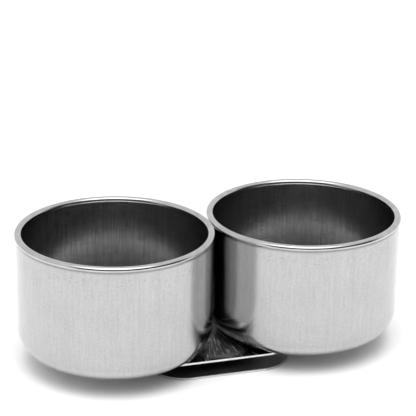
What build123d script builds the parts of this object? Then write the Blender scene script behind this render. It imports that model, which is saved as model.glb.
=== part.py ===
from build123d import *
import os

# Double dipper: two open drawn-steel cups standing side by side on a folded spring clip, whose
# mouth slips over the edge of a painter's palette. Millimetres, +Z up. The origin is midway
# between the cups, on the surface that the clip's lower leaf rests on. +X points to the right cup,
# and the clip's mouth faces -Y.

# Cups
RIM_D = 45.0  # outside diameter over the rim bead
CUP_H = 28.6  # base to top of the rim
SHEET = 0.4  # cup wall and base thickness
BEAD_W = 1.65  # the sheet curled inwards at the rim, slightly flattened
BEAD_H = 1.35
BEAD_STEP = 0.18  # how far the bead stands out past the wall
CURL_SLIT = 0.12  # between the curl's free edge and the wall inside
DRAFT = 0.17  # how much smaller the wall's radius is at the base
BASE_R = 6.0  # outside radius where the wall turns into the base
CUP_GAP = 0.05  # between the two beads

# Spring clip: one strip folded back under itself
STRIP_T = 0.5
STRIP_W = 33.2
CLIP_H = 3.4  # outside height of the folded clip
PLATE_FRONT = -13.5  # cut edge of the upper plate
LEAF_FRONT = -15.1  # cut edge of the lower leaf
FOLD_Y = 12.0  # where the flats end and the fold begins
PLATE_CORNER_R = 6.0  # the rounded ends of the strip
LEAF_CORNER_R = 8.5

# Spot welds between the plate and each cup base
WELD_D = 3.0
WELD_PITCH = 10.0
WELD_X = 11.5  # from the clip's middle
WELD_DIMPLE = 0.08  # electrode mark, on both faces

cup_x = (RIM_D + CUP_GAP) / 2
wall_top_r = RIM_D / 2 - BEAD_STEP
wall_base_r = wall_top_r - DRAFT
bead_centre_r = (RIM_D - BEAD_W) / 2
bead_z = CUP_H - BEAD_H / 2
wall_h = CUP_H - BEAD_H + SHEET  # the wall ends inside the curl
slit_r = wall_top_r - SHEET - CURL_SLIT / 2
plate_z = CLIP_H - STRIP_T
weld_y = WELD_PITCH / 2

os.makedirs("parts", exist_ok=True)


def finish(builder, node):
    """Label the finished piece and write its STEP file."""
    builder.part.label = node
    export_step(builder.part, f"parts/{node}.step")


# The cups: each is one sheet, a flat base, a large radius, a wall with a little draft and a rim
# curled inwards. Two weld spots are left open in the base, where the weld nuggets lie.
for side, name in ((-1, "left"), (1, "right")):
    x = side * cup_x
    cup_section = Plane(origin=(x, 0, CLIP_H), x_dir=(1, 0, 0), z_dir=(0, -1, 0))
    with BuildPart() as cup:
        with BuildSketch(cup_section) as half_section:
            with Locations((bead_centre_r, bead_z)):
                Ellipse(BEAD_W / 2, BEAD_H / 2)
                Ellipse(BEAD_W / 2 - SHEET, BEAD_H / 2 - SHEET, mode=Mode.SUBTRACT)
            with Locations((slit_r, wall_h - SHEET / 2)):
                Rectangle(CURL_SLIT, 1.5 * SHEET, mode=Mode.SUBTRACT)
            with BuildLine():
                Polyline((0, 0), (wall_base_r, 0), (wall_top_r, wall_h), (wall_top_r - SHEET, wall_h))
                Polyline((wall_top_r - SHEET, wall_h), (wall_base_r - SHEET, SHEET), (0, SHEET), (0, 0))
            make_face()
            for level, radius in ((0, BASE_R), (1, BASE_R - SHEET)):
                corner = half_section.vertices().group_by(Axis.Y)[level].sort_by(Axis.X)[-1]
                fillet(corner, radius=radius)
        revolve(axis=Axis((x, 0, CLIP_H), (0, 0, 1)))
        with BuildSketch(Plane.XY.offset(CLIP_H)):
            with Locations((side * WELD_X, -weld_y), (side * WELD_X, weld_y)):
                Circle(WELD_D / 2)
        extrude(amount=SHEET, mode=Mode.SUBTRACT)
    finish(cup, f"{name}_cup")

    # The weld nuggets join the base to the plate and are dished a little on both faces.
    with BuildPart() as welds:
        with BuildSketch(Plane.XY.offset(plate_z + WELD_DIMPLE)):
            with Locations((side * WELD_X, -weld_y), (side * WELD_X, weld_y)):
                Circle(WELD_D / 2)
        extrude(amount=STRIP_T + SHEET - 2 * WELD_DIMPLE)
    finish(welds, f"{name}_spot_welds")


def strip_end(front_y, corner_r):
    """Draw the flat of the strip from its rounded front end back to the fold."""
    with BuildSketch(mode=Mode.PRIVATE) as flat:
        with Locations((0, (front_y + FOLD_Y) / 2)):
            Rectangle(STRIP_W, FOLD_Y - front_y)
        fillet(flat.vertices().group_by(Axis.Y)[0], radius=corner_r)
    return flat.sketch


# The clip's upper plate carries both cups.
with BuildPart() as plate:
    with BuildSketch(Plane.XY.offset(plate_z)):
        add(strip_end(PLATE_FRONT, PLATE_CORNER_R))
        with GridLocations(2 * WELD_X, WELD_PITCH, 2, 2):
            Circle(WELD_D / 2, mode=Mode.SUBTRACT)
    extrude(amount=STRIP_T)
finish(plate, "clip_plate")

# The fold at the back is the spring.
with BuildPart() as fold:
    with BuildSketch(Plane.YZ.offset(-STRIP_W / 2)):
        with Locations((FOLD_Y, CLIP_H / 2)):
            Circle(CLIP_H / 2)
            Circle(CLIP_H / 2 - STRIP_T, mode=Mode.SUBTRACT)
        with Locations((FOLD_Y - CLIP_H / 2, CLIP_H / 2)):
            Rectangle(CLIP_H, CLIP_H, mode=Mode.SUBTRACT)
    extrude(amount=STRIP_W)
finish(fold, "clip_fold")

# The lower leaf swings down at its front when a palette is pushed in.
with BuildPart() as leaf:
    with BuildSketch(Plane.XY):
        add(strip_end(LEAF_FRONT, LEAF_CORNER_R))
    extrude(amount=STRIP_T)
finish(leaf, "clip_leaf")
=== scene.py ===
import logging
import math
from collections.abc import Iterable, Mapping, Sequence
from dataclasses import dataclass
from enum import Enum
from typing import Any, NamedTuple

import bmesh
import bpy
from mathutils import Matrix, Vector


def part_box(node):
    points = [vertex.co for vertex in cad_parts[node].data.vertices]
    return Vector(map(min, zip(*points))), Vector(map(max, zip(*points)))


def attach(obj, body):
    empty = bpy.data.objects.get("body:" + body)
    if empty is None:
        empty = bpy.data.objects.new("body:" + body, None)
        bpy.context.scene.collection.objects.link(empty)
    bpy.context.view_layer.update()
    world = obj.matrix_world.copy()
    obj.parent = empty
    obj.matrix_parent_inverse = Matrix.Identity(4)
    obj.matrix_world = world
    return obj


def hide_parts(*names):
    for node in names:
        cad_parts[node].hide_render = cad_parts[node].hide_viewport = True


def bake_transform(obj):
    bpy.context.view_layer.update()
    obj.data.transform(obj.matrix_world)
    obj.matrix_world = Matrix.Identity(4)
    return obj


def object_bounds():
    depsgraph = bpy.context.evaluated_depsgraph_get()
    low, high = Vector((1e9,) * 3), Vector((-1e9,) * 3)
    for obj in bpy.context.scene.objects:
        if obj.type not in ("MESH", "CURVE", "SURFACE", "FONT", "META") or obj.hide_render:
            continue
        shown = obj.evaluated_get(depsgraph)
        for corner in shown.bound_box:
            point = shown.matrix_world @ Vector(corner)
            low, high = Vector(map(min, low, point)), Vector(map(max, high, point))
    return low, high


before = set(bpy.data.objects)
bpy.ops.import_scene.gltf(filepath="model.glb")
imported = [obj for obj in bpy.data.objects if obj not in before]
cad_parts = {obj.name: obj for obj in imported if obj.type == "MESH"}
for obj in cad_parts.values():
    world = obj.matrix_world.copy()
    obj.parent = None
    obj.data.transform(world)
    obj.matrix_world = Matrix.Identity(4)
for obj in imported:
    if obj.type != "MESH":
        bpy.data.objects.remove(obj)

LOG = logging.getLogger("double_dipper")
CAD_BOX = [list(corner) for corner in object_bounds()]
MM = 0.001

Point = tuple[float, float]
Grey = float


class Side(Enum):
    """Which of the two cups a piece belongs to."""

    LEFT = "left"
    RIGHT = "right"


class Blend(Enum):
    """How a pattern's colour is laid over the colour beneath it."""

    MIX = "MIX"
    MULTIPLY = "MULTIPLY"


# ---------------------------------------------------------------- shader maths


class Value:
    """A number that changes over a surface. Arithmetic on it adds Math nodes."""

    def __init__(self, tree: "FinishTree", socket: bpy.types.NodeSocket) -> None:
        """Wrap one output socket of a material's tree."""
        self.tree = tree
        self.socket = socket

    def join(self, operation: str, *others: "Value | float", swapped: bool = False) -> "Value":
        """Add one Math node.

        Args:
            operation: The Math node's operation.
            others: The other operands, values or plain numbers.
            swapped: Whether this value is the last operand instead of the first.

        Returns:
            The node's result.
        """
        operands = [*others, self] if swapped else [self, *others]
        made = self.tree.node("ShaderNodeMath", {"operation": operation}, dict(enumerate(operands)))
        return Value(self.tree, made.outputs[0])

    def __add__(self, other: "Value | float") -> "Value":
        """Add."""
        return self.join("ADD", other)

    def __radd__(self, other: float) -> "Value":
        """Add to a plain number."""
        return self.join("ADD", other)

    def __sub__(self, other: "Value | float") -> "Value":
        """Subtract."""
        return self.join("SUBTRACT", other)

    def __rsub__(self, other: float) -> "Value":
        """Subtract from a plain number."""
        return self.join("SUBTRACT", other, swapped=True)

    def __mul__(self, other: "Value | float") -> "Value":
        """Multiply."""
        return self.join("MULTIPLY", other)

    def __truediv__(self, other: "Value | float") -> "Value":
        """Divide."""
        return self.join("DIVIDE", other)

    def __pow__(self, power: float) -> "Value":
        """Raise to a power."""
        return self.join("POWER", power)

    def absolute(self) -> "Value":
        """Drop the sign."""
        return self.join("ABSOLUTE")

    def larger(self, other: "Value | float") -> "Value":
        """Take the larger of two."""
        return self.join("MAXIMUM", other)

    def ramp(self, low: float, high: float) -> "Value":
        """Rise smoothly from 0 at low to 1 at high, or fall where low is the larger."""
        sockets = {"Value": self, "From Min": low, "From Max": high}
        settings = {"interpolation_type": "SMOOTHSTEP"}
        if low > high:
            sockets.update({"From Min": high, "From Max": low, "To Min": 1.0, "To Max": 0.0})
        return Value(self.tree, self.tree.node("ShaderNodeMapRange", settings, sockets).outputs[0])


class FinishTree:
    """The node tree of one material, or of the world, written as expressions on values."""

    def __init__(self, owner: bpy.types.Material | bpy.types.World) -> None:
        """Start an empty tree with its output node."""
        self.owner = owner
        owner.use_nodes = True
        self.tree = owner.node_tree
        self.tree.nodes.clear()
        kind = "World" if isinstance(owner, bpy.types.World) else "Material"
        self.output = self.tree.nodes.new(f"ShaderNodeOutput{kind}")

    @classmethod
    def named(cls, name: str) -> "FinishTree":
        """Start a new material."""
        return cls(bpy.data.materials.new(name))

    def close(self, shader: bpy.types.Node) -> Any:
        """Link the last shader to the output and give back the material or world."""
        self.tree.links.new(shader.outputs[0], self.output.inputs[0])
        return self.owner

    def node(
        self,
        kind: str,
        settings: Mapping[str, Any] | None = None,
        sockets: Mapping[Any, Any] | None = None,
    ) -> bpy.types.Node:
        """Add any node.

        Args:
            kind: The node's type.
            settings: Its properties, set first, such as an operation.
            sockets: Values or links for its input sockets, by name or number.

        Returns:
            The new node.
        """
        made = self.tree.nodes.new(kind)
        for key, value in (settings or {}).items():
            setattr(made, key, value)
        for key, value in (sockets or {}).items():
            if isinstance(value, Value):
                self.tree.links.new(value.socket, made.inputs[key])
            elif isinstance(value, bpy.types.NodeSocket):
                self.tree.links.new(value, made.inputs[key])
            else:
                made.inputs[key].default_value = value
        return made

    def place(self) -> tuple[Value, Value, Value]:
        """Give the piece's own X, Y and Z in millimetres."""
        there = self.node("ShaderNodeTexCoord").outputs["Object"]
        parts = self.node("ShaderNodeSeparateXYZ", None, {0: there}).outputs
        x, y, z = (Value(self, part) for part in parts)
        return x / MM, y / MM, z / MM

    def vector(self, x: Value | float, y: Value | float, z: Value | float) -> bpy.types.NodeSocket:
        """Join three numbers into a vector."""
        return self.node("ShaderNodeCombineXYZ", None, {0: x, 1: y, 2: z}).outputs[0]

    def noise(
        self,
        at: bpy.types.NodeSocket,
        scale: float,
        detail: float = 2.0,
        roughness: float = 0.5,
    ) -> Value:
        """Sample smooth noise, about 0.5 on average, at a vector."""
        sockets = {"Vector": at, "Scale": scale, "Detail": detail, "Roughness": roughness}
        made = self.node("ShaderNodeTexNoise", {"noise_dimensions": "3D"}, sockets)
        return Value(self, made.outputs[0])

    def spots(self, at: bpy.types.NodeSocket, scale: float) -> Value:
        """Give the distance to the nearest of many scattered points."""
        made = self.node("ShaderNodeTexVoronoi", {"feature": "F1"}, {"Vector": at, "Scale": scale})
        return Value(self, made.outputs["Distance"])

    def mix(
        self,
        amount: Value,
        under: Grey | bpy.types.NodeSocket,
        over: Grey,
        blend: Blend = Blend.MIX,
    ) -> bpy.types.NodeSocket:
        """Lay one grey over a colour where amount is high.

        Args:
            amount: How much of the upper colour shows, 0 to 1.
            under: The colour beneath, as a grey or a socket.
            over: The grey laid over it.
            blend: How the two are combined.

        Returns:
            The colour socket.
        """
        lower = under if isinstance(under, bpy.types.NodeSocket) else (under, under, under, 1.0)
        settings = {"data_type": "RGBA", "blend_type": blend.value, "clamp_factor": True}
        sockets = {0: amount, 6: lower, 7: (over, over, over, 1.0)}
        return self.node("ShaderNodeMix", settings, sockets).outputs[2]

    def bump(self, height: Value, depth_mm: float, strength: float = 1.0) -> bpy.types.NodeSocket:
        """Turn a height of 0 to 1 into a normal, for relief of the given depth."""
        sockets = {"Height": height, "Distance": depth_mm * MM, "Strength": strength}
        return self.node("ShaderNodeBump", None, sockets).outputs[0]

    def metal(self, **sockets: Any) -> bpy.types.Material:
        """Close the tree with a bare-metal shader.

        Args:
            sockets: The shader's own inputs, with spaces written as underscores.

        Returns:
            The finished material.
        """
        named = {key.replace("_", " "): value for key, value in sockets.items()}
        shader = self.node("ShaderNodeBsdfPrincipled", None, {"Metallic": 1.0, **named})
        return self.close(shader)


# -------------------------------------------------------------------- finishes


class OnCup(NamedTuple):
    """A place on a cup in its own millimetres, and its X and Y put onto the wall's radius."""

    x: Value
    y: Value
    z: Value
    round_x: Value
    round_y: Value


@dataclass(frozen=True)
class Pits:
    """The pits that the blank holder left, most of them in a band below the rim."""

    amount: float = 0.6
    band_at: float = 28.4
    band_fade: Point = (1.3, 0.2)
    stray: float = 0.1
    stray_cloud: Point = (0.55, 0.7)
    scale: float = 0.9
    size: Point = (0.26, 0.08)
    shade: float = 0.4
    sink: float = 0.4
    wear: float = 0.12


@dataclass(frozen=True)
class Nip:
    """The marks where a cup nearly meets its neighbour.

    The line of the meeting is darkened with painted shade, and the base radius below it is scuffed,
    with a band beside the neighbour that is rougher and lightened with a painted highlight. Each
    facing is the cosine of the bearing from the neighbour's direction.
    """

    # painted shade along the line where the cups meet: its grey share, the facing and heights it
    # covers
    dull: float = 0.3
    meeting_shade_facing: Point = (0.965, 0.995)
    meeting_shade_rise: Point = (6.5, 9.5)
    scuff: float = 3.0
    scuff_facing: Point = (0.4, 0.75)
    scuff_fall: Point = (9.8, 8.0)
    # painted highlight on the base radius beside the neighbour, a band that is also made rougher
    glint: float = 2.0
    glint_and_rub_facing: Point = (0.76, 0.9)
    glint_and_rub_at: float = 6.6
    glint_and_rub_fade: Point = (1.3, 0.3)
    rub_wear: float = 0.22


@dataclass(frozen=True)
class DrawnSteel:
    """Sheet steel drawn upwards in a die.

    It has fine upright lines and soft cloudy rubbing. The flat base keeps the sheet's rolled grain,
    the base radius is lightened with a painted highlight, strongest at its bottom, and the crease
    below the rim is darkened with painted shade. The neighbour is on +X or -X, or 0 for none.
    Heights are in the row's frame.
    """

    name: str
    neighbour: float
    grey: Grey = 0.49
    roughness: float = 0.15
    along: float = 0.6
    radius: float = 22.3
    line_depth: float = 0.008
    contrast: float = 0.13
    line_levels: Point = (0.3, 0.7)
    fine_share: float = 0.55
    grain_share: float = 0.45
    ring_share: float = 0.0
    rolled_share: float = 0.35
    cloud_levels: Point = (0.3, 0.75)
    cloud_shade: Grey = 0.95
    cloud_wear: float = 0.06
    # painted shade: the crease band below the rim and how far its colour is darkened
    crease: Point = (30.2, 30.9)
    crease_shade: Grey = 0.5
    # painted highlight: how much the base radius is lightened, and the heights over which it fades
    # in
    fillet_highlight: float = 1.6
    fillet_highlight_fall: Point = (7.5, 4.5)
    flat_fall: Point = (5.0, 4.0)
    pits: Pits = Pits()
    nip: Nip = Nip()

    def build(self) -> bpy.types.Material:
        """Build the material on the cup's own axis."""
        tree = FinishTree.named(self.name)
        x, y, z = tree.place()
        reach = ((x * x + y * y) ** 0.5).larger(1.0)
        at = OnCup(x, y, z, x / reach * self.radius, y / reach * self.radius)
        wall = tree.vector(at.round_x, at.round_y, z)
        cloud = tree.noise(wall, scale=0.16, detail=3.0, roughness=0.6)
        wrapped = tree.vector(at.round_x * 0.12, at.round_y * 0.12, z * 1.5)
        ring = tree.noise(wrapped, scale=2.4, roughness=0.6)
        flat = z.ramp(*self.flat_fall)
        lines = self._lines(tree, at, ring, flat)
        marks = self._marks(tree, at, cloud)
        nip = self.nip
        facing = x / reach * self.neighbour
        # mask of the painted shade along the line where the cups meet
        meeting = facing.ramp(*nip.meeting_shade_facing) * z.ramp(*nip.meeting_shade_rise)
        scuffed = facing.ramp(*nip.scuff_facing) * z.ramp(*nip.scuff_fall) * (1.0 - flat)
        # band on the base radius beside the neighbour: painted highlight in the colour and extra
        # roughness
        rubbed = (z - nip.glint_and_rub_at).absolute().ramp(*nip.glint_and_rub_fade)
        rubbed = facing.ramp(*nip.glint_and_rub_facing) * rubbed
        low, high = self.grey * (1.0 - self.contrast), self.grey * (1.0 + self.contrast)
        colour = tree.mix(lines.ramp(*self.line_levels), low, high)
        cloudy = cloud.ramp(*self.cloud_levels)
        colour = tree.mix(cloudy, colour, self.cloud_shade, Blend.MULTIPLY)
        # painted shade: darken the colour in the crease below the rim
        colour = tree.mix(z.ramp(*self.crease), colour, self.crease_shade, Blend.MULTIPLY)
        # painted highlight: lighten the base radius towards its bottom
        colour = tree.mix(z.ramp(*self.fillet_highlight_fall), colour, self.fillet_highlight, Blend.MULTIPLY)
        colour = tree.mix(marks, colour, self.grey * self.pits.shade)
        # painted shade: darken the colour along the line where the cups meet
        colour = tree.mix(meeting, colour, self.grey * nip.dull)
        # painted highlight: lighten the band on the base radius beside the neighbour
        colour = tree.mix(rubbed, colour, nip.glint, Blend.MULTIPLY)
        rough = self.roughness + (cloud - 0.5) * self.cloud_wear + marks * self.pits.wear
        rough = rough + rubbed * nip.rub_wear
        height = lines - marks * self.pits.sink + ring * scuffed * nip.scuff
        return tree.metal(
            Base_Color=colour,
            Roughness=rough,
            Normal=tree.bump(height, self.line_depth),
            Anisotropic=self.along,
        )

    def _lines(self, tree: FinishTree, at: OnCup, ring: Value, flat: Value) -> Value:
        """Mix the wall's upright and ring lines with the flat base's rolled grain."""
        drawn = tree.vector(at.round_x, at.round_y, at.z * 0.06)
        fine = tree.noise(drawn, scale=5.0, roughness=0.6)
        drawn = tree.vector(at.round_x, at.round_y, at.z * 0.03)
        streak = tree.noise(drawn, scale=1.6, detail=3.0, roughness=0.65)
        grain = tree.noise(tree.vector(at.round_x, at.round_y, at.z), scale=2.6, roughness=0.6)
        stretched = tree.vector(at.x * 0.3, at.y * 3.0, at.z)
        rolled = tree.noise(stretched, scale=1.2, detail=3.0, roughness=0.6)
        upright = fine * self.fine_share + streak * (1.0 - self.fine_share)
        wall = upright * (1.0 - self.grain_share) + grain * self.grain_share
        wall = wall * (1.0 - self.ring_share) + ring * self.ring_share
        base = rolled * self.rolled_share + 0.5 * (1.0 - self.rolled_share)
        return wall * (1.0 - flat) + base * flat

    def _marks(self, tree: FinishTree, at: OnCup, cloud: Value) -> Value:
        """Scatter the pits, some of them outside the band where the cloud is thick."""
        pits = self.pits
        spots = tree.spots(tree.vector(at.round_x, at.round_y, at.z * 1.5), pits.scale)
        band = (at.z - pits.band_at).absolute().ramp(*pits.band_fade)
        stray = cloud.ramp(*pits.stray_cloud)
        spread = band * (1.0 - pits.stray) + stray * pits.stray
        return spots.ramp(*pits.size) * spread * pits.amount


@dataclass(frozen=True)
class RolledBead:
    """The rim's curl, burnished by the rolling tool, with faint lines that run round it.

    The crease where it leaves the wall, at a radius and a height, is darkened with painted shade.
    """

    name: str
    grey: Grey = 0.57
    roughness: float = 0.12
    shades: Point = (0.88, 1.1)
    turned_share: float = 0.4
    worn_levels: Point = (0.3, 0.7)
    worn_wear: float = 0.1
    # painted shade: where the crease is, how far it fades, and how far its colour is darkened
    crease: Point = (22.1, 30.9)
    crease_shade_fade: Point = (0.15, 0.2)
    crease_shade: Grey = 0.5
    line_depth: float = 0.0008

    def build(self) -> bpy.types.Material:
        """Build the material on the cup's own axis."""
        tree = FinishTree.named(self.name)
        x, y, z = tree.place()
        reach = (x * x + y * y) ** 0.5
        turned = tree.noise(tree.vector(reach, z, 0.0), scale=7.0)
        worn = tree.noise(tree.vector(x, y, z), scale=0.35, detail=3.0)
        rubbed = worn.ramp(*self.worn_levels)
        shade = turned * self.turned_share + rubbed * (1.0 - self.turned_share)
        colour = tree.mix(shade, *(self.grey * share for share in self.shades))
        # painted shade: darken the colour in the crease where the curl leaves the wall
        radius, height = self.crease
        wide, high = self.crease_shade_fade
        crease = reach.ramp(radius, radius + wide) * z.ramp(height + high, height)
        colour = tree.mix(crease, colour, self.crease_shade, Blend.MULTIPLY)
        rough = self.roughness + (worn - 0.5) * self.worn_wear
        normal = tree.bump(turned, self.line_depth)
        return tree.metal(Base_Color=colour, Roughness=rough, Normal=normal)


@dataclass(frozen=True)
class Strokes:
    """The brush strokes on the plate, which fan out from where the cups meet. They are real rough
    sunk scratches, also lightened with a painted highlight, and the painted shade is left off along
    them.
    """

    centre: Point = (1.5, 6.0)
    turn: float = 6.0
    broad_levels: Point = (0.56, 0.68)
    fine_levels: Point = (0.52, 0.72)
    broad_share: float = 0.6
    fade: Point = (1.0, 13.0)
    # painted highlight: the lighter grey of the strokes
    bright: Grey = 0.8
    wear: float = 0.3
    relief: float = 0.8

    def build(self, tree: FinishTree, x: Value, y: Value) -> Value:
        """Draw the strokes over the plate, stronger towards its front."""
        across, along = x - self.centre[0], y - self.centre[1]
        reach = ((across * across + along * along) ** 0.5).larger(0.3)
        turn_x, turn_y = across / reach * self.turn, along / reach * self.turn
        broad = tree.noise(tree.vector(turn_x, turn_y, reach * 0.03), scale=5.5, roughness=0.6)
        fine = tree.noise(tree.vector(turn_x, turn_y, reach * 0.02), scale=12.0, roughness=0.6)
        broad, fine = broad.ramp(*self.broad_levels), fine.ramp(*self.fine_levels)
        mixed = broad * self.broad_share + fine * (1.0 - self.broad_share)
        return mixed * reach.ramp(*self.fade)


@dataclass(frozen=True)
class ClipStrip:
    """Cold-rolled spring strip with bright sheared edges and a duller lower leaf.

    The plate's top is darkened with painted shade behind its front edge, and more round where the
    cups meet, where it is also made non-metallic to dull its reflection, except along the brush
    strokes.
    """

    name: str
    plate_top: float
    plate_front: float
    leaf_front: float
    grey: Grey = 0.5
    shades: Point = (0.9, 1.08)
    roughness: float = 0.12
    cloud_wear: float = 0.04
    plate_wear: float = 0.04
    leaf_wear: float = 0.22
    sheared: Grey = 0.8
    leaf_edge: float = 0.6
    edge_fade: Point = (0.10, 0.02)
    side_fade: Point = (0.6, 0.5)
    top_fade: Point = (0.12, 0.02)
    leaf_share: Point = (0.5, 0.3)
    # painted shade: the plate top's darker grey behind its front edge
    plate_shade: Grey = 0.07
    plate_shade_fade: Point = (-14.0, -9.0)
    # painted shade round where the cups meet: its grey, the low IOR that dulls its reflection, and
    # its reach
    throat_shade: Grey = 0.03
    throat_shade_ior: float = 1.15
    throat_shade_fade: Point = (14.0, 9.0)
    relief: float = 0.012
    rolled_relief: float = 0.2
    strokes: Strokes = Strokes()

    def build(self) -> bpy.types.Material:
        """Build the material in the row's own frame."""
        tree = FinishTree.named(self.name)
        x, y, z = tree.place()
        rolled = tree.noise(tree.vector(x * 4.0, y * 0.12, z), scale=1.0, detail=3.0, roughness=0.6)
        cloud = tree.noise(tree.vector(x, y, z), scale=0.15)
        edge = y.ramp(*(self.plate_front + fade for fade in self.edge_fade))
        edge = edge * z.ramp(*(self.plate_top - fade for fade in self.side_fade))
        sheared = y.ramp(*(self.leaf_front + fade for fade in self.edge_fade))
        top = z.ramp(*(self.plate_top - fade for fade in self.top_fade)) * (1.0 - edge)
        leaf = z.ramp(*(self.plate_top * share for share in self.leaf_share))
        stroke = self.strokes.build(tree, x, y)
        # painted shade round where the cups meet, left off along the strokes
        spread = ((x * x * 2.0 + y * y) ** 0.5).ramp(*self.throat_shade_fade)
        throat_shade = top * spread * (1.0 - stroke)
        colour = tree.mix(rolled, *(self.grey * share for share in self.shades))
        # painted shade: darken the plate's top behind its front edge
        colour = tree.mix(top * y.ramp(*self.plate_shade_fade), colour, self.plate_shade)
        # painted shade: darken the plate round where the cups meet
        colour = tree.mix(throat_shade, colour, self.throat_shade)
        # painted highlight: lighten the strokes on the plate's top
        colour = tree.mix(top * stroke, colour, self.strokes.bright)
        colour = tree.mix(edge.larger(sheared * self.leaf_edge), colour, self.sheared)
        rough = self.roughness + (cloud - 0.5) * self.cloud_wear + top * stroke * self.strokes.wear
        rough = rough + leaf * self.leaf_wear + top * self.plate_wear
        height = rolled * self.rolled_relief - top * stroke * self.strokes.relief
        return tree.metal(
            Base_Color=colour,
            Roughness=rough,
            Normal=tree.bump(height, self.relief),
            # painted shade: non-metallic where the cups meet, to dull the plate's reflection
            Metallic=1.0 - throat_shade,
            IOR=self.throat_shade_ior,
        )


@dataclass(frozen=True)
class WeldMark:
    """The dull, slightly heat-darkened mark of a welding electrode."""

    name: str
    grey: Grey = 0.42
    shades: Point = (0.75, 1.15)
    roughness: float = 0.34
    grain_wear: float = 0.15
    grain_depth: float = 0.006

    def build(self) -> bpy.types.Material:
        """Build the material in the row's own frame."""
        tree = FinishTree.named(self.name)
        x, y, z = tree.place()
        grain = tree.noise(tree.vector(x, y, z), scale=3.0, detail=3.0, roughness=0.6)
        colour = tree.mix(grain, *(self.grey * share for share in self.shades))
        rough = self.roughness + (grain - 0.5) * self.grain_wear
        normal = tree.bump(grain, self.grain_depth)
        return tree.metal(Base_Color=colour, Roughness=rough, Normal=normal)


@dataclass(frozen=True)
class StudioFloor:
    """A plain white sweep."""

    name: str = "studio_floor"
    grey: Grey = 0.9
    unevenness: float = 0.005

    def build(self) -> bpy.types.Material:
        """Build a matt white with the faintest unevenness."""
        tree = FinishTree.named(self.name)
        x, y, z = tree.place()
        cloud = tree.noise(tree.vector(x, y, z), scale=0.01)
        colour = tree.mix(cloud, self.grey * (1.0 - self.unevenness), self.grey)
        return tree.close(tree.node("ShaderNodeBsdfDiffuse", None, {"Color": colour}))


# -------------------------------------------------------------------- geometry


def arc(centre: Point, radii: Point, start: float, end: float, steps: int) -> list[Point]:
    """Points along an elliptical arc, in degrees, with both ends."""
    turns = [math.radians(start + (end - start) * step / steps) for step in range(steps + 1)]
    return [(centre[0] + radii[0] * math.cos(t), centre[1] + radii[1] * math.sin(t)) for t in turns]


def bend(start: Point, corner: Point, end: Point, steps: int) -> list[Point]:
    """Points along a smooth bend that rounds off a corner, with both ends."""
    shares = [step / steps for step in range(steps + 1)]
    weights = [((1 - s) ** 2, 2 * s * (1 - s), s * s) for s in shares]
    axes = list(zip(start, corner, end))
    return [tuple(a * p + b * q + c * r for p, q, r in axes) for a, b, c in weights]


def line(start: Point, end: Point, steps: int) -> list[Point]:
    """Points along a line, with both ends."""
    wide, high = end[0] - start[0], end[1] - start[1]
    shares = [step / steps for step in range(steps + 1)]
    return [(start[0] + wide * s, start[1] + high * s) for s in shares]


def chain(*stretches: Sequence[Point]) -> list[Point]:
    """Join stretches end to end and drop the points that coincide."""
    joined: list[Point] = []
    for point in (p for stretch in stretches for p in stretch):
        if not joined or math.dist(joined[-1], point) > 1e-4:
            joined.append(point)
    return joined


def fill_band(
    maker: bmesh.types.BMesh,
    lower: Sequence[bmesh.types.BMVert],
    upper: Sequence[bmesh.types.BMVert],
    material: int = 0,
) -> None:
    """Fill between two rings, one of which may be a single point."""
    count = max(len(lower), len(upper))
    for index in range(count):
        after = (index + 1) % count
        if len(lower) == 1:
            corners = (lower[0], upper[after], upper[index])
        elif len(upper) == 1:
            corners = (lower[index], lower[after], upper[0])
        else:
            corners = (lower[index], lower[after], upper[after], upper[index])
        maker.faces.new(corners).material_index = material


def new_piece(
    name: str, mesh_maker: bmesh.types.BMesh, materials: Iterable[bpy.types.Material]
) -> bpy.types.Object:
    """Turn a bmesh, in millimetres, into a smooth-shaded object in metres.

    Args:
        name: The piece's name.
        mesh_maker: The bmesh, which is freed.
        materials: The materials, in the order of the faces' material numbers.

    Returns:
        The new object, linked to the scene.
    """
    bmesh.ops.transform(mesh_maker, matrix=Matrix.Scale(MM, 4), verts=mesh_maker.verts[:])
    bmesh.ops.recalc_face_normals(mesh_maker, faces=mesh_maker.faces[:])
    mesh = bpy.data.meshes.new(name)
    mesh_maker.to_mesh(mesh)
    mesh_maker.free()
    for material in materials:
        mesh.materials.append(material)
    mesh.shade_smooth()
    piece = bpy.data.objects.new(name, mesh)
    bpy.context.scene.collection.objects.link(piece)
    return piece


@dataclass(frozen=True)
class WeldSpot:
    """Where one spot weld sits, and the electrode's mark that it leaves."""

    x: float
    y: float
    radius: float = 1.5
    skirt: float = 0.35
    depth: float = 0.1

    def sink(self, x: float, y: float) -> float:
        """How deep the sheet's face is pressed in at a point, in millimetres."""
        away = math.hypot(x - self.x, y - self.y)
        share = min(max((self.radius + self.skirt - away) / (2 * self.skirt), 0.0), 1.0)
        return self.depth * share * share * (3 - 2 * share)


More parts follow.
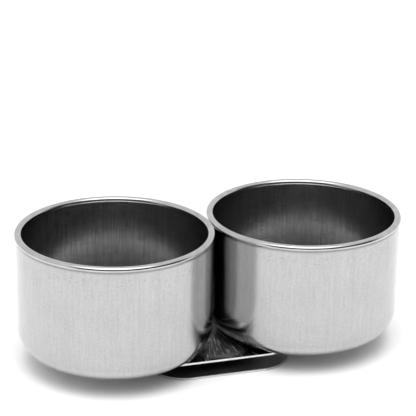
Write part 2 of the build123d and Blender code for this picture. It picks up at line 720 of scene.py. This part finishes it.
@dataclass
class Cup:
    """One drawn cup with its rim curled inwards, and the welds that hold its base.

    The profile is worked out from the CAD cup's box and these sizes, in millimetres.
    """

    side: Side
    welds: Sequence[WeldSpot]
    sheet: float = 0.4
    bead_wide: float = 1.65
    bead_high: float = 1.35
    bead_step: float = 0.18
    bead_blend: float = 0.35
    draft: float = 0.17
    blend_turn: float = 14.0
    curl_end: float = 264.0
    corner: float = 6.0
    around: int = 320
    flat_steps: int = 40
    corner_steps: int = 24
    wall_steps: int = 30
    blend_steps: int = 8
    curl_steps: int = 48
    lining_steps: int = 24
    bead_lead: int = 6

    def __post_init__(self) -> None:
        """Read the cup's place from the frame."""
        low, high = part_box(f"{self.side.value}_cup")
        self.axis_x = (low[0] + high[0]) / 2 / MM
        self.rim_r = (high[0] - low[0]) / 2 / MM
        self.low = low[2] / MM
        self.high = high[2] / MM

    def profile(self) -> tuple[list[Point], dict[str, range]]:
        """Draw the closed section as (radius, height) points.

        Returns:
            The points, from the middle of the underside round to the middle of the inner floor,
            and which of them bound the bead.
        """
        wall_top = self.rim_r - self.bead_step
        wall_base = wall_top - self.draft
        bead = (self.bead_wide / 2, self.bead_high / 2)
        hollow = (bead[0] - self.sheet, bead[1] - self.sheet)
        floor = self.low + self.sheet
        bead_at = (self.rim_r - bead[0], self.high - bead[1])
        corner_at = (wall_base - self.corner, self.low + self.corner)
        meet = math.acos((wall_top - bead_at[0]) / bead[0])
        crease = (wall_top, bead_at[1] - bead[1] * math.sin(meet))
        leave = math.degrees(meet) - self.blend_turn
        start = arc(bead_at, bead, -leave, -leave, 1)[0]
        below = (crease[0], crease[1] - self.bead_blend)
        outside = chain(
            line((0.0, self.low), (corner_at[0], self.low), self.flat_steps),
            arc(corner_at, (self.corner,) * 2, -90.0, 0.0, self.corner_steps),
            line((wall_base, corner_at[1]), below, self.wall_steps),
            bend(below, crease, start, self.blend_steps),
        )
        curl = arc(bead_at, bead, -leave, self.curl_end, self.curl_steps)
        lining = arc(bead_at, hollow, self.curl_end, 0.0, self.lining_steps)
        inside = chain(
            line(
                (wall_top - self.sheet, bead_at[1] - hollow[1]),
                (wall_base - self.sheet, corner_at[1]),
                self.wall_steps,
            ),
            arc(corner_at, (self.corner - self.sheet,) * 2, 0.0, -90.0, self.corner_steps),
            line((corner_at[0], floor), (0.0, floor), self.flat_steps),
        )
        points = chain(outside, curl, lining, inside)
        first = len(outside) - self.bead_lead
        last = len(chain(outside, curl, lining))
        return points, {"bead": range(first, last), "inside": range(last, len(points))}

    def build(
        self, wall: bpy.types.Material, bead: bpy.types.Material, inner: bpy.types.Material
    ) -> bpy.types.Object:
        """Spin the section into the cup and press the weld marks into its base."""
        section, parts = self.profile()
        maker = bmesh.new()
        turns = [2 * math.pi * step / self.around for step in range(self.around)]
        rings: list[list[bmesh.types.BMVert]] = []
        for radius, height in section:
            if radius < 1e-6:
                rings.append([maker.verts.new((0.0, 0.0, height))])
                continue
            rings.append([self._vertex(maker, radius, height, turn) for turn in turns])
        for index, (lower, upper) in enumerate(zip(rings, rings[1:])):
            material = 1 if index in parts["bead"] else 2 if index in parts["inside"] else 0
            fill_band(maker, lower, upper, material)
        piece = new_piece(f"{self.side.value}_drawn_cup", maker, (wall, bead, inner))
        piece.location.x = self.axis_x * MM
        return piece

    def _vertex(
        self, maker: bmesh.types.BMesh, radius: float, height: float, turn: float
    ) -> bmesh.types.BMVert:
        """Place one point of the cup, sunk where a weld mark is."""
        x, y = radius * math.cos(turn), radius * math.sin(turn)
        if height <= self.low + self.sheet + 1e-6:
            sink = sum(spot.sink(x + self.axis_x, y) for spot in self.welds)
            height -= sink if height > self.low + self.sheet / 2 else 0.0
        return maker.verts.new((x, y, height))


class SpineRow(NamedTuple):
    """One row across the strip: its place, the way its outer face looks, and its half width."""

    y: float
    z: float
    normal_y: float
    normal_z: float
    half: float


@dataclass
class SpringClip:
    """The folded strip: an upper plate, the fold and a lower leaf, made as one sheet."""

    welds: Sequence[WeldSpot]
    plate_corner: float = 6.0
    leaf_corner: float = 8.5
    strip: float = 0.5
    pitch: float = 0.4
    bevel: float = 0.06
    sharp: float = 50.0
    fold_steps: int = 24
    corner_steps: int = 16

    def __post_init__(self) -> None:
        """Read the clip's sizes from the frame."""
        plate_low, plate_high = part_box("clip_plate")
        leaf_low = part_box("clip_leaf")[0]
        self.half_width = plate_high[0] / MM
        self.fold_y = plate_high[1] / MM
        self.plate_front = plate_low[1] / MM
        self.leaf_front = leaf_low[1] / MM
        self.low = leaf_low[2] / MM
        self.high = plate_high[2] / MM

    def _spine(self) -> list[SpineRow]:
        """Follow the strip's middle from the plate's front round to the leaf's front."""
        mid_r = (self.high - self.low - self.strip) / 2
        mid_z = (self.high + self.low) / 2
        rows: list[SpineRow] = []
        for y, half in self._flat(self.plate_front, self.plate_corner):
            rows.append(SpineRow(y, mid_z + mid_r, 0.0, 1.0, half))
        for step in range(1, self.fold_steps):
            turn = math.radians(90.0 - 180.0 * step / self.fold_steps)
            y, z = math.cos(turn), math.sin(turn)
            place = (self.fold_y + mid_r * y, mid_z + mid_r * z)
            rows.append(SpineRow(*place, y, z, self.half_width))
        for y, half in reversed(self._flat(self.leaf_front, self.leaf_corner)):
            rows.append(SpineRow(y, mid_z - mid_r, 0.0, -1.0, half))
        return rows

    def _flat(self, front: float, corner: float) -> list[Point]:
        """Give Y and half width from a rounded end to the fold, closest together in the corner."""
        steps = range(self.corner_steps + 1)
        turns = [math.radians(90.0 * step / self.corner_steps) for step in steps]
        start, straight = front + corner, self.half_width - corner
        rows = [(start - corner * math.cos(t), straight + corner * math.sin(t)) for t in turns]
        count = math.ceil((self.fold_y - start) / self.pitch)
        stride = (self.fold_y - start) / count
        return rows + [(start + stride * (step + 1), self.half_width) for step in range(count)]

    def build(self, steel: bpy.types.Material) -> bpy.types.Object:
        """Make the folded sheet with softened sheared edges."""
        maker = bmesh.new()
        rows, half = self._spine(), self.strip / 2
        skins = [[self._row(maker, row, offset) for offset in (half, -half)] for row in rows]
        outer, inner = zip(*skins)
        for near, far in zip(outer, outer[1:]):
            self._strip(maker, near, far)
        for near, far in zip(inner, inner[1:]):
            self._strip(maker, far, near)
        for edge in (0, -1):
            self._strip(maker, [row[edge] for row in outer], [row[edge] for row in inner])
        for end in (0, -1):
            self._strip(maker, outer[end], inner[end])
        self._soften(maker)
        return new_piece("spring_clip", maker, (steel,))

    def _row(
        self, maker: bmesh.types.BMesh, spine: SpineRow, offset: float
    ) -> list[bmesh.types.BMVert]:
        """Place one row of points across the strip.

        Args:
            maker: The bmesh.
            spine: The row in the strip's middle.
            offset: How far the row lies from the strip's middle, outwards.

        Returns:
            The points from left to right. Under the plate they are sunk where a weld mark is.
        """
        y, z, normal_y, normal_z, half = spine
        columns = math.ceil(2 * self.half_width / self.pitch)
        under_plate = offset < 0 and z > (self.low + self.high) / 2
        row = []
        for column in range(columns + 1):
            x = half * (2 * column / columns - 1)
            sink = sum(spot.sink(x, y) for spot in self.welds) if under_plate else 0.0
            at = offset + sink
            row.append(maker.verts.new((x, y + normal_y * at, z + normal_z * at)))
        return row

    @staticmethod
    def _strip(
        maker: bmesh.types.BMesh,
        near: Sequence[bmesh.types.BMVert],
        far: Sequence[bmesh.types.BMVert],
    ) -> None:
        """Fill between two rows of points."""
        for a, b, c, d in zip(near, near[1:], far[1:], far):
            maker.faces.new((a, b, c, d))

    def _soften(self, maker: bmesh.types.BMesh) -> None:
        """Round the sharp sheared edges a little."""
        bmesh.ops.recalc_face_normals(maker, faces=maker.faces[:])
        limit = math.radians(self.sharp)
        closed = (edge for edge in maker.edges if len(edge.link_faces) == 2)
        bmesh.ops.bevel(
            maker,
            geom=[edge for edge in closed if edge.calc_face_angle() > limit],
            offset=self.bevel,
            offset_type="OFFSET",
            segments=3,
            profile=0.5,
            affect="EDGES",
        )


@dataclass
class WeldPair:
    """The two weld nuggets that hold one cup to the plate, dished on both faces."""

    side: Side
    spots: Sequence[WeldSpot]
    dish: float = 0.035
    around: int = 48
    steps: int = 8

    def build(self, steel: bpy.types.Material) -> bpy.types.Object:
        """Make the discs that show in the cup's floor and under the plate."""
        low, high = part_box(f"{self.side.value}_spot_welds")
        maker = bmesh.new()
        for spot in self.spots:
            self._nugget(maker, spot, low[2] / MM, high[2] / MM)
        return new_piece(f"{self.side.value}_weld_marks", maker, (steel,))

    def _nugget(self, maker: bmesh.types.BMesh, spot: WeldSpot, low: float, high: float) -> None:
        """Spin one nugget from the middle of its top face to the middle of its bottom face."""
        shares = [step / self.steps for step in range(self.steps + 1)]
        top = [(spot.radius * s, high - self.dish * (1 - s * s)) for s in shares]
        bottom = [(radius, low + high - height) for radius, height in reversed(top)]
        rings = [self._ring(maker, spot, radius, height) for radius, height in [*top, *bottom]]
        for inner, outer in zip(rings, rings[1:]):
            fill_band(maker, inner, outer)

    def _ring(
        self, maker: bmesh.types.BMesh, spot: WeldSpot, radius: float, height: float
    ) -> list[bmesh.types.BMVert]:
        """Place one ring of points, or a single point in the middle."""
        if radius < 1e-6:
            return [maker.verts.new((spot.x, spot.y, height))]
        ring = arc((spot.x, spot.y), (radius, radius), 0.0, 360.0, self.around)[:-1]
        return [maker.verts.new((x, y, height)) for x, y in ring]


# ---------------------------------------------------------------------- studio


def heading(bearing: float, height: float) -> tuple[float, float, float]:
    """Point towards a bearing from -Y, clockwise from above, and a height, in degrees."""
    turn, rise = math.radians(bearing), math.radians(height)
    flat = math.cos(rise)
    return (-math.sin(turn) * flat, -math.cos(turn) * flat, math.sin(rise))


@dataclass
class Studio:
    """A white sweep in a white tent, and the camera.

    Lengths of the camera's stand are millimetres, and the light's places and edges are degrees, as
    heading takes them. The camera's lens is fitted to a 36 mm sensor.
    """

    camera_at: tuple[float, float, float] = (-121.33, -372.57, 179.70)
    view_right: tuple[float, float, float] = (0.9529, -0.3031, 0.0139)
    view_up: tuple[float, float, float] = (0.0948, 0.3410, 0.9353)
    lens: float = 159.78
    sensor: float = 36.0
    floor_radius: float = 160.0
    floor_gap: float = 0.02
    tent: float = 1.05
    beyond: float = 1.3
    roof: float = 3.0
    roof_at: Point = (18.0, 68.0)
    roof_edges: Point = (20.0, 38.0)
    opening: float = 0.08
    front_at: Point = (-8.0, 12.0)
    front_edges: Point = (52.0, 80.0)
    front_top: Point = (34.0, 50.0)
    key: float = 1.35
    key_at: Point = (14.0, 75.0)
    key_spread: float = 37.0

    def build(self) -> None:
        """Set the floor, the light and the camera."""
        self._floor()
        self._light()
        self._key()
        self._camera()

    def _floor(self) -> None:
        """Lay a wide round floor just under the object."""
        maker = bmesh.new()
        bmesh.ops.create_circle(maker, cap_ends=True, segments=128, radius=self.floor_radius)
        floor = new_piece("floor", maker, (StudioFloor().build(),))
        floor.location.z = CAD_BOX[0][2] - self.floor_gap * MM

    def _light(self) -> None:
        """Light the scene from a white tent with a bright roof and a dim opening in front.

        What the camera sees past the floor's edge is plain white.
        """
        world = bpy.data.worlds.new("studio")
        bpy.context.scene.world = world
        tree = FinishTree(world)
        toward = tree.node("ShaderNodeTexCoord").outputs["Generated"]
        height = Value(tree, tree.node("ShaderNodeSeparateXYZ", None, {0: toward}).outputs[2])
        roof = self._patch(tree, toward, self.roof_at, self.roof_edges)
        front = self._patch(tree, toward, self.front_at, self.front_edges)
        low, high = (math.sin(math.radians(edge)) for edge in self.front_top)
        dim = front * height.ramp(high, low)
        light = (self.tent + roof * (self.roof - self.tent)) * (1.0 - dim * (1.0 - self.opening))
        seen = Value(tree, tree.node("ShaderNodeLightPath").outputs["Is Camera Ray"])
        strength = light * (1.0 - seen) + seen * self.beyond
        tree.close(tree.node("ShaderNodeBackground", None, {"Strength": strength}))

    def _key(self) -> None:
        """Add the soft key light, which falls on the floor and stays out of the reflections."""
        data = bpy.data.lights.new("key", "SUN")
        data.energy = self.key
        data.angle = math.radians(self.key_spread)
        lamp = bpy.data.objects.new("key", data)
        toward = Vector(heading(*self.key_at))
        lamp.rotation_euler = toward.to_track_quat("Z", "Y").to_euler()
        lamp.location = toward
        lamp.visible_glossy = False
        bpy.context.scene.collection.objects.link(lamp)

    @staticmethod
    def _patch(tree: FinishTree, toward: bpy.types.NodeSocket, at: Point, edges: Point) -> Value:
        """Mark a soft round patch of the sky.

        Args:
            tree: The world's tree.
            toward: The direction that is looked in.
            at: The patch's middle, as heading takes it.
            edges: How far from its middle it starts and ends to fade, in degrees.

        Returns:
            1 inside the patch and 0 outside it.
        """
        sockets = {0: toward, 1: heading(*at)}
        dot = tree.node("ShaderNodeVectorMath", {"operation": "DOT_PRODUCT"}, sockets)
        inner, outer = (math.cos(math.radians(edge)) for edge in edges)
        return Value(tree, dot.outputs["Value"]).ramp(outer, inner)

    def _camera(self) -> None:
        """Place the long-lens camera, measured from the level of the cups' bases."""
        right, up = Vector(self.view_right).normalized(), Vector(self.view_up)
        up = (up - right * up.dot(right)).normalized()
        back = right.cross(up)
        turn = Matrix((right, up, back)).transposed().to_4x4()
        data = bpy.data.cameras.new("camera")
        data.lens = self.lens
        data.sensor_width = self.sensor
        data.clip_start, data.clip_end = 0.01, 20.0
        camera = bpy.data.objects.new("camera", data)
        stand = Vector((0.0, 0.0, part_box("left_cup")[0][2]))
        camera.matrix_world = Matrix.Translation(Vector(self.camera_at) * MM + stand) @ turn
        bpy.context.scene.collection.objects.link(camera)
        bpy.context.scene.camera = camera


# ------------------------------------------------------------------------ main


def weld_spots(side: Side) -> list[WeldSpot]:
    """Find one cup's two weld spots from the frame."""
    low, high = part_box(f"{side.value}_spot_welds")
    x = (low[0] + high[0]) / 2 / MM
    radius = (high[0] - low[0]) / 2 / MM
    return [WeldSpot(x, y, radius) for y in (low[1] / MM + radius, high[1] / MM - radius)]


def dress(piece: bpy.types.Object, nodes: Sequence[str]) -> bpy.types.Object:
    """Hide the CAD nodes that a piece stands for, and log them with the piece's face count."""
    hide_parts(*nodes)
    LOG.info("%s: %d faces, replaces %s", piece.name, len(piece.data.polygons), ", ".join(nodes))
    return piece


def main() -> None:
    """Build the double dipper and its studio."""
    logging.basicConfig(level=logging.INFO, format="%(name)s %(message)s")
    # the insides are the walls' steel; their lower grey is painted shade, their stronger lines and
    # rings are the steel's own
    inside = DrawnSteel(
        "cup_inside_steel_painted_shade",
        neighbour=0.0,
        # painted shade: darker grey than the outer walls
        grey=0.37,
        roughness=0.22,
        line_depth=0.006,
        contrast=0.34,
        grain_share=0.1,
        ring_share=0.25,
        pits=Pits(amount=0.0),
    )
    inner = inside.build()
    bead = RolledBead("rim_bead_steel").build()
    weld = WeldMark("weld_mark_steel").build()
    spots = {side: weld_spots(side) for side in Side}
    for side in Side:
        neighbour = 1.0 if side is Side.LEFT else -1.0
        wall = DrawnSteel(f"{side.value}_cup_wall_steel", neighbour).build()
        cup = Cup(side, spots[side]).build(wall, bead, inner)
        dress(cup, [f"{side.value}_cup"])
        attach(cup, "cups")
        marks = WeldPair(side, spots[side]).build(weld)
        dress(marks, [f"{side.value}_spot_welds"])
        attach(marks, "cups")
    clip = SpringClip([*spots[Side.LEFT], *spots[Side.RIGHT]])
    strip = ClipStrip("clip_strip_steel", clip.high, clip.plate_front, clip.leaf_front).build()
    sheet = dress(clip.build(strip), ["clip_plate", "clip_fold", "clip_leaf"])
    inset = clip.strip * MM
    clip.high * MM - inset
    clip.low * MM + inset
    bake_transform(sheet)
    Studio().build()
    bpy.context.scene.view_settings.view_transform = "Standard"


if __name__ == "__main__":
    main()
